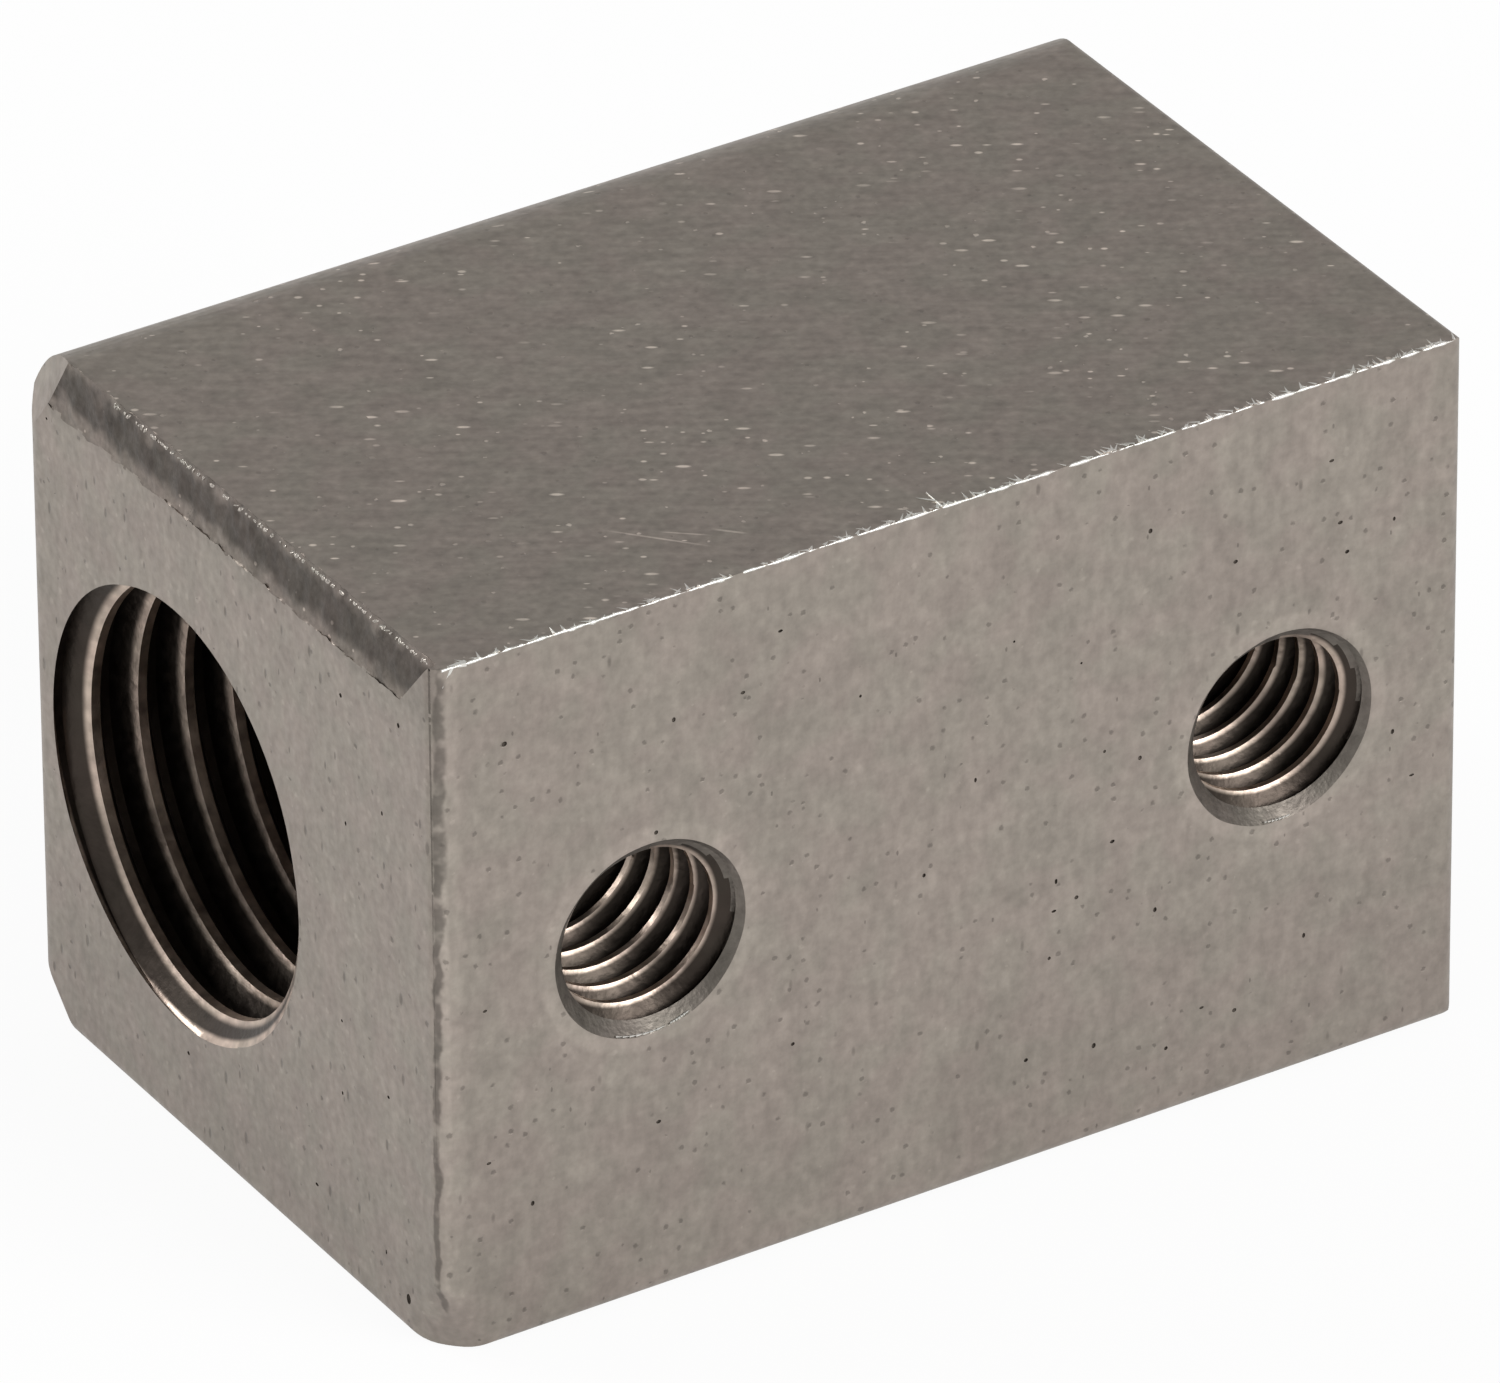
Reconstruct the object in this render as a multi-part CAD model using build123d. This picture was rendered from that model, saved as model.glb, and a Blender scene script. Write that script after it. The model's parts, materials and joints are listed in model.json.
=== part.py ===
"""Machined steel mounting block, cut from square bar.

A main thread runs through the whole length of the block. Two smaller tapped holes enter
from the front face and open into it, so that screws there can lock a threaded rod.

Frame: +X runs from the left end to the right end, the front face looks towards -Y, and the
block stands on z = 0. The origin is at the centre of its base. Lengths are in millimetres.
"""

from build123d import *
import os

# Square bar, cut to length
block_length = 33.0
block_depth = 22.0
block_height = 22.0

# Main thread, M14 x 1.5, tapped from end to end
main_thread_size = 14.0
main_thread_pitch = 1.5
main_back_wall = 1.25
main_below_middle = 0.3
main_mouth_break = 0.15

# Screw threads, M6 x 1, on the front face, one near each end
screw_thread_size = 6.0
screw_thread_pitch = 1.0
screw_from_left_end = 6.7
screw_from_right_end = 6.0
screw_above_middle = 0.45
screw_countersink_width = 0.54

# Edges that run along the bar: the rolled corners stay on the back, the front is milled
back_top_radius = 3.0
back_bottom_radius = 2.4
front_bottom_radius = 0.6

# Edges round the left end, which was dressed by hand
left_back_radius = 1.0
left_bottom_radius = 0.5
left_front_radius = 0.5

# Edges round the right end, which were only broken
right_back_radius = 0.6
right_bottom_radius = 0.8
right_front_radius = 0.5
right_top_radius = 0.4

# Filed bevel along the left end's top edge, deeper towards the front and stopped short of it
bevel_drop_back = 1.8
bevel_drop_front = 1.7
bevel_set_back_at_back = 0.12
bevel_set_back_at_front = 0.35
bevel_stop_below = 1.7
bevel_stop_above = 0.3

# Flats filed across the left end's back corners, by how far each reaches along the edges
top_flat_along_length = 0.95
top_flat_along_depth = 3.1
top_flat_along_height = 3.8
bottom_flat_reach = 2.3

# Rounding of the left end's front edge, which grows towards the base
base_round_radius = 2.7
base_round_height = 2.4

# A 60 degree thread's crests stand this many pitches inside its full diameter
MINOR_DIAMETER_DROP = 1.0825

# How far a cut's outline runs out past the faces that it crosses
CLEAR = 2.0

# Which way a corner lies from the middle of its view
LOW, HIGH = -1, 1

# A solid stood on its plane rather than centred in it
ON_BASE = (Align.CENTER, Align.CENTER, Align.MIN)

left_end = -block_length / 2
right_end = block_length / 2
front_face = -block_depth / 2
back_face = block_depth / 2
main_bore_radius = (main_thread_size - MINOR_DIAMETER_DROP * main_thread_pitch) / 2
screw_bore_radius = (screw_thread_size - MINOR_DIAMETER_DROP * screw_thread_pitch) / 2
main_axis_y = back_face - main_back_wall - main_thread_size / 2
main_axis_height = block_height / 2 - main_below_middle
screw_axis_height = block_height / 2 + screw_above_middle
screw_xs = [left_end + screw_from_left_end, right_end - screw_from_right_end]


def rounded_view(view, width, height, depth, corner_radii):
    """One view of the block, swept through it, with a radius of its own at each corner."""
    outline = Rectangle(width, height)
    for (side_u, side_v), radius in corner_radii.items():
        corner = Vector(side_u * width / 2, side_v * height / 2)
        outline = fillet(outline.vertices().sort_by_distance(corner)[0], radius)
    return extrude(view * outline, amount=depth / 2, both=True)


def blank():
    """The bar: what its end view, front view and top view leave in common."""
    end_view = rounded_view(
        Plane.YZ, block_depth, block_height, block_length,
        {
            (HIGH, LOW): back_bottom_radius,
            (HIGH, HIGH): back_top_radius,
            (LOW, LOW): front_bottom_radius,
        },
    )
    front_view = rounded_view(
        Plane.XZ, block_length, block_height, block_depth,
        {
            (LOW, LOW): left_bottom_radius,
            (HIGH, LOW): right_bottom_radius,
            (HIGH, HIGH): right_top_radius,
        },
    )
    top_view = rounded_view(
        Plane.XY, block_length, block_depth, block_height,
        {
            (LOW, HIGH): left_back_radius,
            (LOW, LOW): left_front_radius,
            (HIGH, HIGH): right_back_radius,
            (HIGH, LOW): right_front_radius,
        },
    )
    return Pos(0, 0, block_height / 2) * (end_view & front_view & top_view)


def beyond(point, second, third):
    """The space outside the plane through three points that run anticlockwise seen from it."""
    outward = (second - point).cross(third - point)
    plane = Plane(origin=point, x_dir=second - point, z_dir=outward)
    reach = 2 * block_length
    return plane * Box(reach, reach, reach, align=ON_BASE)


def bevel_section(y, drop, set_back):
    """What a file takes off the left end's top edge at one place along it."""
    low = Vector(left_end, y, block_height - drop)
    top = Vector(left_end + set_back, y, block_height)
    clear = (top - low).normalized() * CLEAR
    outside = Vector(left_end - CLEAR, y, block_height + CLEAR)
    return make_face(Polyline(low - clear, top + clear, outside, close=True))


def filed_bevel():
    """The bevel's offcut, twisted along its length and with its front end run out at a slant."""
    filed_away = loft(
        [
            bevel_section(front_face, bevel_drop_front, bevel_set_back_at_front),
            bevel_section(back_face, bevel_drop_back, bevel_set_back_at_back),
        ],
        ruled=True,
    )
    depth = max(bevel_drop_front, bevel_drop_back) + CLEAR
    slant = (bevel_stop_below - bevel_stop_above) / bevel_drop_front
    stop_above = front_face + bevel_stop_above
    reach = extrude(
        Plane.YZ * Polygon(
            (stop_above, block_height),
            (stop_above + slant * depth, block_height - depth),
            (back_face, block_height - depth),
            (back_face, block_height),
            align=None,
        ),
        amount=-block_length,
    )
    return filed_away & reach


def corner_flats():
    """Flats filed across the left end's top back corner and its bottom back corner."""
    top = Vector(left_end, back_face, block_height)
    across_top = beyond(
        top - Vector(0, top_flat_along_depth, 0),
        top + Vector(top_flat_along_length, 0, 0),
        top - Vector(0, 0, top_flat_along_height),
    )
    bottom = Vector(left_end, back_face, 0)
    across_bottom = beyond(
        bottom + Vector(0, 0, bottom_flat_reach),
        bottom + Vector(bottom_flat_reach, 0, 0),
        bottom - Vector(0, bottom_flat_reach, 0),
    )
    return across_top + across_bottom


def edge_offcut(radius, z):
    """What rounding the left end's front edge to a radius takes off at one height."""
    on_end = Vector(left_end, front_face + radius, z)
    on_front = Vector(left_end + radius, front_face, z)
    centre = Vector(left_end + radius, front_face + radius, z)
    middle = centre + (Vector(left_end, front_face, z) - centre).normalized() * radius
    outside = Vector(left_end - CLEAR, front_face - CLEAR, z)
    round_edge = ThreePointArc(on_end, middle, on_front)
    return make_face(round_edge + Polyline(on_front, outside, on_end))


def base_rounding():
    """The offcut of the left end's front edge, from the base up."""
    top = edge_offcut(left_front_radius, base_round_height)
    return loft([edge_offcut(base_round_radius, 0), top], ruled=True)


def main_bore():
    """Bore of the main thread from end to end, at its crests, with both mouths broken."""
    tool = Cylinder(main_bore_radius, block_length)
    mouth_radius = main_bore_radius + main_mouth_break
    mouth = Cone(mouth_radius, main_bore_radius, main_mouth_break, align=ON_BASE)
    mouth = Pos(0, 0, -block_length / 2) * mouth
    tool += mouth + mirror(mouth, Plane.XY)
    return Pos(0, main_axis_y, main_axis_height) * Rot(0, 90, 0) * tool


def screw_bore():
    """Bore of a screw thread, countersunk at the front face and open into the main bore."""
    sink_radius = screw_bore_radius + screw_countersink_width
    tool = Cylinder(screw_bore_radius, main_axis_y - front_face, align=ON_BASE)
    tool += Cone(sink_radius, screw_bore_radius, screw_countersink_width, align=ON_BASE)
    return Pos(0, front_face, screw_axis_height) * Rot(-90, 0, 0) * tool


mounting_block = blank() - filed_bevel() - corner_flats() - base_rounding() - main_bore()
for x in screw_xs:
    mounting_block -= Pos(x, 0, 0) * screw_bore()

os.makedirs("parts", exist_ok=True)
export_step(mounting_block, "parts/mounting_block.step")
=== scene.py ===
"""Finish of the machined mounting block: its threads, filed bevel, burrs, steel and studio.

The frame's block gives the outer form. A copy of it is roughened along the filed bevel and
tapped by boolean, and the burrs that deburring left are thin pieces of their own.

Lengths are metres in the block's frame: +X along the block from its left end, the front face
towards -Y, and the base on z = 0.
"""

import json
import math
import random

import bmesh
import bpy
from mathutils import Matrix, Vector, noise


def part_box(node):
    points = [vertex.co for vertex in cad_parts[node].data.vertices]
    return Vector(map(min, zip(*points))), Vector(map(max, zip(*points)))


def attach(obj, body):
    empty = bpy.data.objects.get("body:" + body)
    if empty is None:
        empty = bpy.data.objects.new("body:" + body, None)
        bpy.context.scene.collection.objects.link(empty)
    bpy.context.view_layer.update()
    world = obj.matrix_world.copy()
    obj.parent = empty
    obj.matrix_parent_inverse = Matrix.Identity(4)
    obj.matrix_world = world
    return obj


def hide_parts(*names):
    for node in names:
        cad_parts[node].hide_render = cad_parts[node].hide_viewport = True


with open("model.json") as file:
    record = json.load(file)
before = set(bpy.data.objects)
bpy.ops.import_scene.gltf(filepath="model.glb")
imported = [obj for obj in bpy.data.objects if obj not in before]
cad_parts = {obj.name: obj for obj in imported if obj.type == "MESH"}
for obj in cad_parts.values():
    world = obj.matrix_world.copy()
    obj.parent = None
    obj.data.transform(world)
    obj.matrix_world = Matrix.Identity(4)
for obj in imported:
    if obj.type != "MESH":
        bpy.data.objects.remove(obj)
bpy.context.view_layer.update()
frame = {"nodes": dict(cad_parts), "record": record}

MM = 0.001
BLOCK = "mounting_block"
LOW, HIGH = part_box(BLOCK)
MOUNTS = {mount["name"]: mount for mount in frame["record"]["mounts"]}

# The milled faces lie this far inside the overall size, which the burrs stand up to
SKIN = 0.05 * MM

# Main thread, M14 x 1.5, from end to end
MAIN_AXIS = Vector(MOUNTS["main_thread"]["pos_m"])
MAIN_BORE_RADIUS = MOUNTS["main_thread"]["dims"]["r_mm"] * MM
MAIN_OUTER_RADIUS = 7.0 * MM
MAIN_PITCH = 1.5 * MM
MAIN_MOUTH_BREAK = 0.06 * MM

# Screw threads, M6 x 1, from the front face into the main thread
SCREW_AXIS = Vector(MOUNTS["screw_holes"]["pos_m"])
SCREW_SPACING = MOUNTS["screw_holes"]["dims"]["spacing_x_mm"] * MM
SCREW_BORE_RADIUS = MOUNTS["screw_holes"]["dims"]["hole_r_mm"] * MM
SCREW_OUTER_RADIUS = 3.0 * MM
SCREW_PITCH = 1.0 * MM
SCREW_COUNTERSINK = 0.54 * MM
SCREW_XS = [SCREW_AXIS.x - SCREW_SPACING / 2, SCREW_AXIS.x + SCREW_SPACING / 2]
SCREWS_END = MAIN_AXIS.y - MAIN_OUTER_RADIUS

# A cutter is this much larger than the plain bore it follows, so that no sliver is left
CUTTER_ALLOWANCE = 0.02 * MM


# ---------------------------------------------------------------- wiring of node trees


class Wiring:
    """Adds nodes to a tree and joins them."""

    def __init__(self, tree):
        self.tree = tree

    def feed(self, socket, value):
        if isinstance(value, bpy.types.NodeSocket):
            self.tree.links.new(value, socket)
        else:
            socket.default_value = value

    def node(self, kind, inputs=None, **settings):
        made = self.tree.nodes.new(kind)
        for name, value in settings.items():
            setattr(made, name, value)
        for name, value in (inputs or {}).items():
            self.feed(made.inputs[name], value)
        return made

    def calc(self, operation, *values):
        made = self.node("ShaderNodeMath", operation=operation)
        for socket, value in zip(made.inputs, values):
            self.feed(socket, value)
        return made.outputs[0]

    def vector(self, x, y, z):
        return self.node("ShaderNodeCombineXYZ", {"X": x, "Y": y, "Z": z}).outputs[0]

    def parts(self, vector):
        return self.node("ShaderNodeSeparateXYZ", {"Vector": vector}).outputs

    def scaled(self, vector, factor):
        made = self.node("ShaderNodeVectorMath", {0: vector}, operation="SCALE")
        self.feed(made.inputs["Scale"], factor)
        return made.outputs[0]

    def drift(self, place, size):
        """Noise from -0.5 to 0.5 along each axis, with lumps of about this size."""
        made = self.node("ShaderNodeTexNoise", {"Vector": place, "Scale": 1 / size, "Detail": 2})
        half = (0.5, 0.5, 0.5)
        centred = {0: made.outputs["Color"], 1: half}
        return self.node("ShaderNodeVectorMath", centred, operation="SUBTRACT").outputs[0]

    def mix(self, kind, factor, first, second):
        """A blend of two vectors (VECTOR) or of two colours (RGBA)."""
        made = self.node("ShaderNodeMix", {"Factor": factor}, data_type=kind)
        socket, result = {"VECTOR": (4, 1), "RGBA": (6, 2)}[kind]
        self.feed(made.inputs[socket], first)
        self.feed(made.inputs[socket + 1], second)
        return made.outputs[result]


def linked(name, data):
    """A new object in the scene."""
    made = bpy.data.objects.new(name, data)
    bpy.context.scene.collection.objects.link(made)
    return made


def geometry_tree(name, inputs):
    """A geometry tree with named inputs, and what they carry."""
    tree = bpy.data.node_groups.new(name, "GeometryNodeTree")
    tree.interface.new_socket("Geometry", in_out="OUTPUT", socket_type="NodeSocketGeometry")
    for label, kind in inputs.items():
        tree.interface.new_socket(label, in_out="INPUT", socket_type="NodeSocket" + kind)
    wiring = Wiring(tree)
    return wiring, wiring.node("NodeGroupInput").outputs


def close_tree(wiring, geometry, material):
    """Ends a geometry tree in real faces with their material."""
    real = wiring.node("GeometryNodeRealizeInstances", {"Geometry": geometry})
    finished = wiring.node(
        "GeometryNodeSetMaterial", {"Geometry": real.outputs[0], "Material": material}
    )
    wiring.node("NodeGroupOutput", {"Geometry": finished.outputs[0]})
    return wiring.tree


def grown(tree, values):
    """The plain mesh that a geometry tree makes from these input values."""
    holder = linked(tree.name, bpy.data.meshes.new(tree.name))
    modifier = holder.modifiers.new(tree.name, "NODES")
    modifier.node_group = tree
    for item in tree.interface.items_tree:
        if item.in_out == "INPUT":
            modifier[item.identifier] = values[item.name]
    depsgraph = bpy.context.evaluated_depsgraph_get()
    mesh = bpy.data.meshes.new_from_object(holder.evaluated_get(depsgraph))
    bpy.data.objects.remove(holder)
    return mesh


# ---------------------------------------------------------------- thread cutters

# A thread's outline in rows of the tap's grid: a pitch, its crest, and each flank
PITCH_ROWS = 16
CREST_ROWS = 3
FLANK_ROWS = 5

# The tap's rows this close to its ends, in pitches, are drawn in to the axis
TAP_END = 0.001

# Rows that fall on the start of a pitch are nudged past it, against rounding
ROW_NUDGE = 0.0001


def tap_tree():
    """A tap along +Z from the origin: the space that a 60 degree thread's cutter sweeps.

    A grid is rolled up with one side of its seam a pitch further on, so that its rows follow
    the helix. Rows past either end are drawn in to the axis, and close the solid.
    """
    wiring, given = geometry_tree(
        "tap",
        {
            "Bore radius": "Float",
            "Outer radius": "Float",
            "Pitch": "Float",
            "Turns": "Int",
            "Columns": "Int",
            "Material": "Material",
        },
    )
    crest = CREST_ROWS / PITCH_ROWS
    flank = FLANK_ROWS / PITCH_ROWS
    calc = wiring.calc
    rows = calc("MULTIPLY_ADD", calc("ADD", given["Turns"], 1), PITCH_ROWS, 1)
    grid = wiring.node(
        "GeometryNodeMeshGrid",
        {
            "Size X": 1,
            "Size Y": 1,
            "Vertices X": calc("ADD", given["Columns"], 1),
            "Vertices Y": rows,
        },
    )
    place = wiring.parts(wiring.node("GeometryNodeInputPosition").outputs[0])
    turn = calc("ADD", place["X"], 0.5)
    row = calc("MULTIPLY", calc("ADD", place["Y"], 0.5), calc("ADD", given["Turns"], 1))
    share = calc("FRACT", calc("ADD", row, ROW_NUDGE))
    rise = calc("DIVIDE", calc("SUBTRACT", share, crest), flank)
    fall = calc("DIVIDE", calc("SUBTRACT", 1, share), flank)
    depth = calc("MINIMUM", calc("MINIMUM", rise, fall), 1)
    depth = calc("MAXIMUM", depth, 0)
    reach = calc("SUBTRACT", given["Outer radius"], given["Bore radius"])
    radius = calc("MULTIPLY_ADD", depth, reach, given["Bore radius"])
    height = calc("SUBTRACT", calc("ADD", row, turn), 1)
    past_start = calc("GREATER_THAN", height, TAP_END)
    before_end = calc("LESS_THAN", height, calc("SUBTRACT", given["Turns"], TAP_END))
    radius = calc("MULTIPLY", radius, calc("MULTIPLY", past_start, before_end))
    height = calc("MAXIMUM", calc("MINIMUM", height, given["Turns"]), 0)
    angle = calc("MULTIPLY", turn, math.tau)
    position = wiring.vector(
        calc("MULTIPLY", radius, calc("COSINE", angle)),
        calc("MULTIPLY", radius, calc("SINE", angle)),
        calc("MULTIPLY", height, given["Pitch"]),
    )
    rolled = wiring.node(
        "GeometryNodeSetPosition", {"Geometry": grid.outputs["Mesh"], "Position": position}
    )
    closed = wiring.node(
        "GeometryNodeMergeByDistance", {"Geometry": rolled.outputs[0], "Distance": 1e-6}
    )
    return close_tree(wiring, closed.outputs[0], given["Material"])


# ---------------------------------------------------------------- outer form of the block

# Grid that the filed bevel is cut into, so that it can be roughened
BEVEL_STEP_ALONG = 0.13 * MM
BEVEL_STEP_DOWN = 0.13 * MM
FILE_MARK_DEPTH = 0.05 * MM
FILED_LOWER_EDGE_WANDER = 0.1 * MM
FILED_UPPER_EDGE_WANDER = 0.06 * MM

# A point this close to a face's plane lies on the face
ON_FACE = 0.0001 * MM

# The finishes, in the order of the block's materials
PLAIN, FILED, TAPPED, SUNK, PITTED = range(5)


def merged_block():
    """The frame's block as one closed mesh with its flats whole."""
    body = bmesh.new()
    body.from_mesh(frame["nodes"][BLOCK].data)
    bmesh.ops.remove_doubles(body, verts=body.verts, dist=1e-6)
    flat = math.radians(0.05)
    bmesh.ops.dissolve_limit(body, angle_limit=flat, verts=body.verts, edges=body.edges)
    return body


def mark_bevel(body):
    """Marks the faces of the filed bevel, which lean back a little from the left end."""
    for face in body.faces:
        normal = face.normal
        if -0.9995 < normal.x < -0.95 and normal.z > 0.03 and abs(normal.y) < 0.1:
            face.material_index = FILED


def slice_marked(body, marked, direction, step):
    """Cuts the faces with one material across, by planes a step apart."""
    faces = [f for f in body.faces if f.material_index == marked]
    reaches = [vert.co.dot(direction) for face in faces for vert in face.verts]
    count = int((max(reaches) - min(reaches)) / step)
    for i in range(1, count + 1):
        faces = [f for f in body.faces if f.material_index == marked]
        edges = {edge for face in faces for edge in face.edges}
        verts = {vert for face in faces for vert in face.verts}
        point = direction * (min(reaches) + i * step)
        geometry = [*faces, *edges, *verts]
        bmesh.ops.bisect_plane(body, geom=geometry, plane_co=point, plane_no=direction, dist=1e-7)


def ragged(place, size, seed):
    """Noise from -1 to 1 whose lumps are about this size, at a place in the block."""
    return noise.noise(place / size + Vector((seed, seed * 1.7, seed * 2.3)))


def roughen_bevel(body):
    """File marks across the bevel, and wandering lines where it meets the end and the top."""
    slice_marked(body, FILED, Vector((0, 1, 0)), BEVEL_STEP_ALONG)
    slice_marked(body, FILED, Vector((0, 0, 1)), BEVEL_STEP_DOWN)
    filed = {vert for face in body.faces if face.material_index == FILED for vert in face.verts}
    normal = next(f.normal.copy() for f in body.faces if f.material_index == FILED)
    for vert in filed:
        place = vert.co.copy()
        others = [f for f in vert.link_faces if f.material_index != FILED]
        if not others:
            coarse = ragged(place, 0.55 * MM, 3)
            fine = ragged(Vector((0, place.y, place.z * 0.35)), 0.2 * MM, 5)
            vert.co += normal * FILE_MARK_DEPTH * (coarse + 0.6 * fine - 0.4)
        elif abs(place.x - LOW.x) < ON_FACE:
            teeth = ragged(place, 0.35 * MM, 7) + 0.5 * ragged(place, 0.17 * MM, 8)
            vert.co.z += FILED_LOWER_EDGE_WANDER * (teeth + 1.2 * ragged(place, 2.2 * MM, 4))
        elif abs(place.z - HIGH.z) < ON_FACE:
            teeth = ragged(place, 0.3 * MM, 9) + 0.5 * ragged(place, 0.15 * MM, 11)
            vert.co.x += FILED_UPPER_EDGE_WANDER * teeth


# ---------------------------------------------------------------- holes

MOUTH_SIDES = 144
MOUTH_CUTTER_PROUD = 0.3 * MM
MOUTH_WANDER = 0.02 * MM

# How far outside its face each tap starts, which sets where its groove breaks out
MAIN_TAP_PROUD = 1.0 * MM
SCREW_TAP_PROUD = 1.2 * MM
MAIN_TAP_TURNS = 24
SCREW_TAP_TURNS = 13
MAIN_TAP_SIDES = 128
SCREW_TAP_SIDES = 96


def mouth_cutter(radius, break_width, seed):
    """A cone that breaks a hole's mouth at 45 degrees, pointing along +Z into the hole.

    Its rim wanders a little, as one dressed by hand does.
    """
    cutter = bmesh.new()
    rings = []
    for depth in (break_width, -MOUTH_CUTTER_PROUD):
        ring = []
        for i in range(MOUTH_SIDES):
            angle = math.tau * i / MOUTH_SIDES
            ray = Vector((math.cos(angle), math.sin(angle), 0))
            wander = MOUTH_WANDER * ragged(ray * radius, 0.8 * MM, seed)
            reach = radius + break_width - depth + CUTTER_ALLOWANCE + wander
            ring.append(cutter.verts.new(ray * reach + Vector((0, 0, depth))))
        rings.append(ring)
    deep, outer = rings
    for i in range(MOUTH_SIDES):
        following = (i + 1) % MOUTH_SIDES
        cutter.faces.new([deep[i], outer[i], outer[following], deep[following]])
    cutter.faces.new(deep)
    cutter.faces.new(list(reversed(outer)))
    bmesh.ops.recalc_face_normals(cutter, faces=cutter.faces)
    mesh = bpy.data.meshes.new("mouth_cutter")
    cutter.to_mesh(mesh)
    cutter.free()
    return mesh


# Pits in the milled front and the left end: a large one, and many as fine as sand
PIT_COUNT = 60
PIT_SMALLEST = 0.035 * MM
PIT_LARGEST = 0.085 * MM
PIT_SPACING = 0.5 * MM
PIT_SHARE_ON_FRONT = 0.68
PIT_EDGE_MARGIN = 1 * MM
PIT_BEVEL_MARGIN = 2.2 * MM
PIT_BACK_MARGIN = 1.5 * MM
LARGE_PIT = Vector((LOW.x, -9.18 * MM, 1.23 * MM))
LARGE_PIT_SIZE = Vector((0.1, 0.11, 0.17)) * MM


def pit_places(chance):
    """Places for the fine pits, on the front face and the left end, clear of each other."""
    length = HIGH.x - LOW.x - 2 * PIT_EDGE_MARGIN
    depth = HIGH.y - LOW.y - PIT_EDGE_MARGIN - PIT_BACK_MARGIN
    places = [LARGE_PIT]
    while len(places) < PIT_COUNT:
        along = chance.uniform(0, 1)
        height = chance.uniform(PIT_EDGE_MARGIN, HIGH.z - PIT_BEVEL_MARGIN)
        if chance.random() < PIT_SHARE_ON_FRONT:
            place = Vector((LOW.x + PIT_EDGE_MARGIN + along * length, LOW.y, height))
        else:
            place = Vector((LOW.x, LOW.y + PIT_EDGE_MARGIN + along * depth, height))
        if all((place - other).length > PIT_SPACING for other in places):
            places.append(place)
    return places


def pit_cutter():
    """Small lumps that stand half in the faces, for the pits to be cut with."""
    chance = random.Random(11)
    lumps = bmesh.new()
    for place in pit_places(chance):
        size = Vector([chance.uniform(PIT_SMALLEST, PIT_LARGEST) for _ in range(3)])
        if place == LARGE_PIT:
            size = LARGE_PIT_SIZE
        matrix = Matrix.LocRotScale(place, None, size)
        bmesh.ops.create_icosphere(lumps, subdivisions=2, radius=1, matrix=matrix)
    for face in lumps.faces:
        face.material_index = PITTED
    mesh = bpy.data.meshes.new("pit_cutter")
    lumps.to_mesh(mesh)
    lumps.free()
    return mesh


ALONG_BLOCK = Matrix.Rotation(math.radians(90), 4, "Y")
BACK_FROM_RIGHT = Matrix.Rotation(math.radians(-90), 4, "Y")
INTO_FRONT = Matrix.Rotation(math.radians(-90), 4, "X")


def tap(tree, bore_radius, outer_radius, pitch, turns, sides):
    """A tap for one thread, that starts at the origin and points along +Z."""
    return grown(
        tree,
        {
            "Bore radius": bore_radius + CUTTER_ALLOWANCE,
            "Outer radius": outer_radius,
            "Pitch": pitch,
            "Turns": turns,
            "Columns": sides,
            "Material": None,
        },
    )


def set_in(mesh, place, turn):
    """A cutter turned and then moved to its place."""
    mesh.transform(Matrix.Translation(place) @ turn)
    return mesh


def hole_cutters():
    """Every cutter for the pits, the threads and their mouths, in place."""
    yield pit_cutter()
    tree = tap_tree()
    main = tap(
        tree, MAIN_BORE_RADIUS, MAIN_OUTER_RADIUS, MAIN_PITCH, MAIN_TAP_TURNS, MAIN_TAP_SIDES
    )
    yield set_in(main, (LOW.x - MAIN_TAP_PROUD, MAIN_AXIS.y, MAIN_AXIS.z), ALONG_BLOCK)
    screw = tap(
        tree, SCREW_BORE_RADIUS, SCREW_OUTER_RADIUS, SCREW_PITCH, SCREW_TAP_TURNS, SCREW_TAP_SIDES
    )
    for x in SCREW_XS:
        yield set_in(screw.copy(), (x, LOW.y - SCREW_TAP_PROUD, SCREW_AXIS.z), INTO_FRONT)
        mouth = mouth_cutter(SCREW_BORE_RADIUS, SCREW_COUNTERSINK, x / MM)
        yield set_in(mouth, (x, LOW.y, SCREW_AXIS.z), INTO_FRONT)
    for x, turn in ((LOW.x, ALONG_BLOCK), (HIGH.x, BACK_FROM_RIGHT)):
        mouth = mouth_cutter(MAIN_BORE_RADIUS, MAIN_MOUTH_BREAK, x / MM)
        yield set_in(mouth, (x, MAIN_AXIS.y, MAIN_AXIS.z), turn)


def cut(mesh, cutters):
    """The mesh with each cutter taken from it in turn."""
    for cutter in cutters:
        work = linked("work", mesh)
        tool = linked("tool", cutter)
        modifier = work.modifiers.new("cut", "BOOLEAN")
        modifier.operation = "DIFFERENCE"
        modifier.solver = "EXACT"
        modifier.object = tool
        depsgraph = bpy.context.evaluated_depsgraph_get()
        mesh = bpy.data.meshes.new_from_object(work.evaluated_get(depsgraph))
        bpy.data.objects.remove(work)
        bpy.data.objects.remove(tool)
    return mesh


def from_axis(place, axis_point, along):
    """How far a place lies from a line along one of the axes."""
    offset = place - axis_point
    offset[along] = 0
    return offset.length


# How far a finish reaches past the size that bounds it, against rounding and wander
MAIN_ZONE_MARGIN = 0.001 * MM
SCREW_ZONE_MARGIN = 0.2 * MM
CONE_ZONE_MARGIN = 0.05 * MM
SURFACE_DEPTH = 0.01 * MM

# Edges sharper than this stay sharp in the shading
SHARP_EDGE = math.radians(14)


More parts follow.
